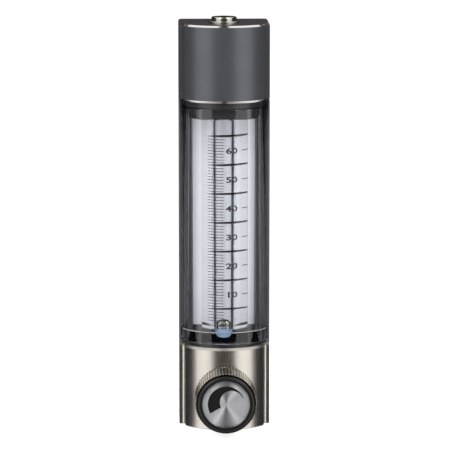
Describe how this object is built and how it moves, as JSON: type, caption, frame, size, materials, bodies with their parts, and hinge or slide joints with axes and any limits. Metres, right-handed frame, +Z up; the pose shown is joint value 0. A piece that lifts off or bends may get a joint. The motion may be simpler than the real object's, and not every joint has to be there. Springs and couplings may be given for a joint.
{
  "type": "rotameter",
  "caption": "Slim variable-area flow meter: glass tube with a ball float behind a clear curved shield, with a needle valve and fluted knob in its foot.",
  "frame": {"origin": "foot of the tube's axis, on the flat underside of the lower block", "axes": "+Z up along the tube, -Y towards the knob and the reader, +Y out of the flat back"},
  "size_m": [0.0312, 0.051, 0.1413],
  "materials": {
    "stainless": "brushed",
    "charcoal_coat": "satin anodised",
    "black_coat": "satin",
    "steel_screws": "satin",
    "white_plate": "matt",
    "clear_shield": "clear moulded",
    "black_collar": "satin",
    "tube_glass": "clear",
    "float_steel": "polished",
    "blue_polymer": "translucent",
    "seal_rubber": "matt",
    "polished_steel": "polished",
    "seat_polymer": "matt",
    "knob_aluminium": "fluted",
    "knob_black": "satin",
    "spun_aluminium": "spun"
  },
  "bodies": {
    "meter": {"lower_block": "stainless", "upper_block": "charcoal_coat", "rear_housing": "black_coat", "housing_screws": "steel_screws", "back_plate": "white_plate", "front_shield": "clear_shield", "lower_collar": "black_collar", "upper_collar": "black_collar", "metering_tube": "tube_glass", "lower_float_stop": "blue_polymer", "upper_float_stop": "blue_polymer", "lower_gasket": "seal_rubber", "upper_packing": "seal_rubber", "clamp_spindle": "stainless", "spindle_o_ring": "seal_rubber", "gland_nut": "stainless", "clamp_screw": "polished_steel", "valve_seat": "seat_polymer", "valve_bonnet": "stainless", "bonnet_o_ring": "seal_rubber"},
    "float": {"float_ball": "float_steel"},
    "stem_ring": {"stem_o_ring": "seal_rubber"},
    "knob": {"valve_stem": "polished_steel", "knob_body": "knob_aluminium", "knob_rim": "knob_black", "knob_face": "spun_aluminium", "knob_set_screw": "steel_screws"}
  },
  "joints": [
    {"name": "float_rise", "type": "slide", "parent": "meter", "child": "float", "axis": [0, 0, 1], "range_m": [0, 0.07]},
    {"name": "valve_travel", "type": "slide", "parent": "meter", "child": "stem_ring", "axis": [0, -1, 0], "range_m": [0, 0.00225]},
    {"name": "valve_turn", "type": "hinge", "parent": "stem_ring", "child": "knob", "pos_m": [0, -0.02, 0.0125], "axis": [0, -1, 0], "range_deg": [0, 1620]}
  ],
  "couplings": [
    {"joint": "valve_turn", "follows": "valve_travel", "rad_per_m": 12566}
  ]
}
